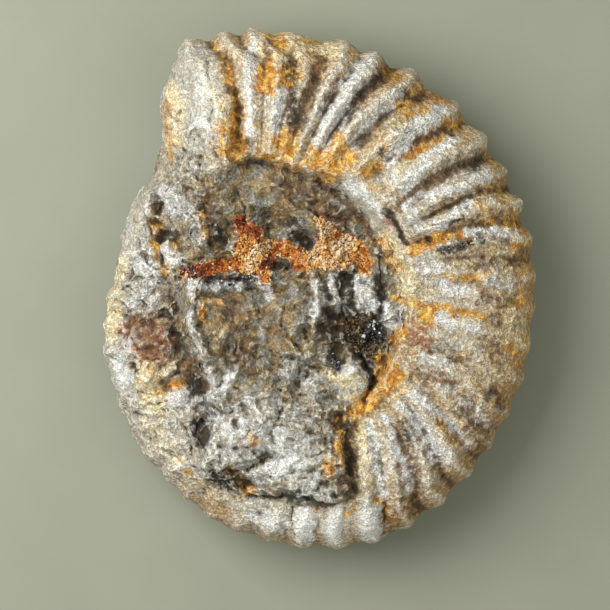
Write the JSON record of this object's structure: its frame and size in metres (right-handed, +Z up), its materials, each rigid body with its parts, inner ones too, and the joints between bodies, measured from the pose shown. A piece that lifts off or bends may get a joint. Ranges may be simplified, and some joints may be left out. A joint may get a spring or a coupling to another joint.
{
  "type": "ammonite fossil",
  "caption": "Worn ribbed ammonite fossil lying on its flank, with rock, an iron-stained crystal seam and a dark druse pocket in its umbilicus.",
  "frame": {"origin": "on the surface the fossil lies on, under the middle of its box", "axes": "+Z up through the shell's thickness, +Y along the longest way across, towards the broken aperture"},
  "size_m": [0.0843, 0.1009, 0.0324],
  "materials": {
    "fossil_stone": "matt, weathered",
    "rust_crystals": "glistening crystals",
    "dark_druse": "glittering crystals"
  },
  "bodies": {
    "root": {"ammonite": "fossil_stone", "rust_crystal_seam": "rust_crystals", "druse_crust": "dark_druse"}
  },
  "joints": []
}
